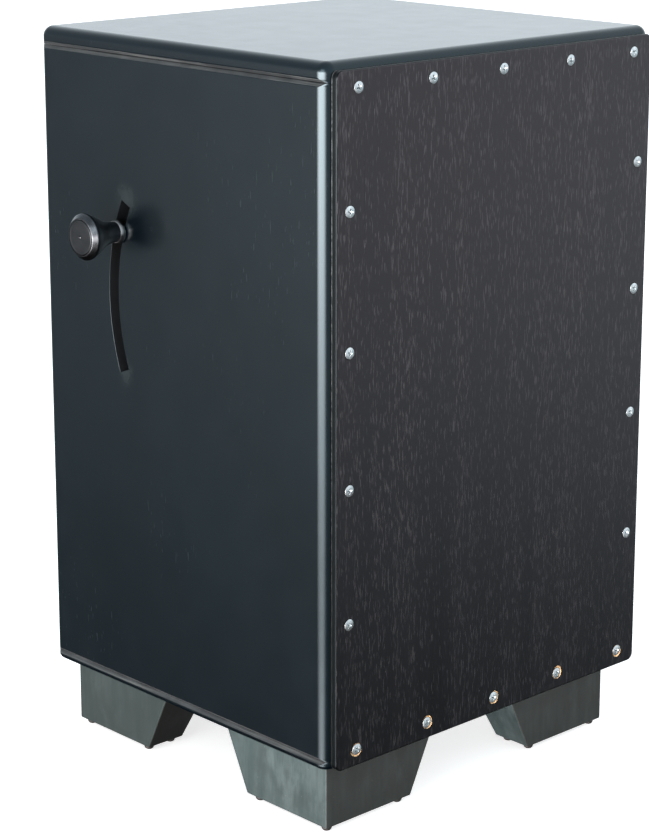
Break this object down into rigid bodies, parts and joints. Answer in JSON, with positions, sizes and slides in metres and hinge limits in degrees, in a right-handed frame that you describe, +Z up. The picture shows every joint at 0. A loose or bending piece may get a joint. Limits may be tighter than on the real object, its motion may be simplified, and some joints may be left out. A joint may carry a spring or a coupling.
{
  "type": "cajon",
  "caption": "Box drum with a screwed-on plywood striking plate, splayed block feet, a rear sound hole and a snare worked by a side lever knob.",
  "frame": {"origin": "bottom centre of the whole drum's bounding box, knob and screw heads included; the box's own middle is at x = 16.25 mm, y = 0.3 mm", "axes": "+Z up; -Y out of the tapa, the striking face; -X out of the side with the snare lever's knob"},
  "size_m": [0.3326, 0.2866, 0.5],
  "materials": {
    "black_lacquer": "satin black lacquer with a blue-grey cast",
    "black_veneer": "black-stained open-pored veneer, satin",
    "raw_wood": "unfinished softwood",
    "stained_wood": "thin dark-grey stain, matte",
    "stud_plastic": "matte",
    "zinc": "pale zinc plating",
    "steel": "plain steel",
    "snare_wire": "bright wire",
    "knob_black": "satin black",
    "knob_silver": "brushed silver"
  },
  "bodies": {
    "cabinet": {"top_panel": "black_lacquer", "bottom_panel": "black_lacquer", "left_side_panel": "black_lacquer", "right_side_panel": "black_lacquer", "back_panel": "black_lacquer", "tapa": "black_veneer", "batten_left": "raw_wood", "batten_right": "raw_wood", "batten_top": "raw_wood", "batten_bottom": "raw_wood", "snare_block_left": "raw_wood", "snare_block_right": "raw_wood", "tapa_screw_top_1": "zinc", "tapa_screw_top_2": "zinc", "tapa_screw_top_3": "zinc", "tapa_screw_top_4": "zinc", "tapa_screw_top_5": "zinc", "tapa_screw_bottom_1": "zinc", "tapa_screw_bottom_2": "zinc", "tapa_screw_bottom_3": "zinc", "tapa_screw_bottom_4": "zinc", "tapa_screw_bottom_5": "zinc", "tapa_screw_left_1": "zinc", "tapa_screw_left_2": "zinc", "tapa_screw_left_3": "zinc", "tapa_screw_left_4": "zinc", "tapa_screw_right_1": "zinc", "tapa_screw_right_2": "zinc", "tapa_screw_right_3": "zinc", "tapa_screw_right_4": "zinc", "foot_front_left": "stained_wood", "foot_front_right": "stained_wood", "foot_rear_left": "stained_wood", "foot_rear_right": "stained_wood", "foot_front_left_stud_1": "stud_plastic", "foot_front_left_stud_2": "stud_plastic", "foot_front_left_stud_3": "stud_plastic", "foot_front_left_stud_4": "stud_plastic", "foot_front_right_stud_1": "stud_plastic", "foot_front_right_stud_2": "stud_plastic", "foot_front_right_stud_3": "stud_plastic", "foot_front_right_stud_4": "stud_plastic", "foot_rear_left_stud_1": "stud_plastic", "foot_rear_left_stud_2": "stud_plastic", "foot_rear_left_stud_3": "stud_plastic", "foot_rear_left_stud_4": "stud_plastic", "foot_rear_right_stud_1": "stud_plastic", "foot_rear_right_stud_2": "stud_plastic", "foot_rear_right_stud_3": "stud_plastic", "foot_rear_right_stud_4": "stud_plastic"},
    "lever": {"lever_arm": "steel", "lever_bolt": "steel", "lever_spacer": "stud_plastic", "snare_bar": "raw_wood", "snare_clamp": "raw_wood", "snare_set_left": "snare_wire", "snare_set_right": "snare_wire"},
    "knob": {"knob_collar": "knob_silver", "knob_body": "knob_black", "knob_rim": "knob_silver"}
  },
  "joints": [
    {"name": "lever_swing", "type": "hinge", "parent": "cabinet", "child": "lever", "pos_m": [0.01625, -0.0767, 0.328], "axis": [1, 0, 0], "range_deg": [-36.5, 6.5]},
    {"name": "knob_turn", "type": "hinge", "parent": "lever", "child": "knob", "pos_m": [-0.13375, 0.06079, 0.37082], "axis": [-1, 0, 0], "range_deg": [0, 180]}
  ]
}
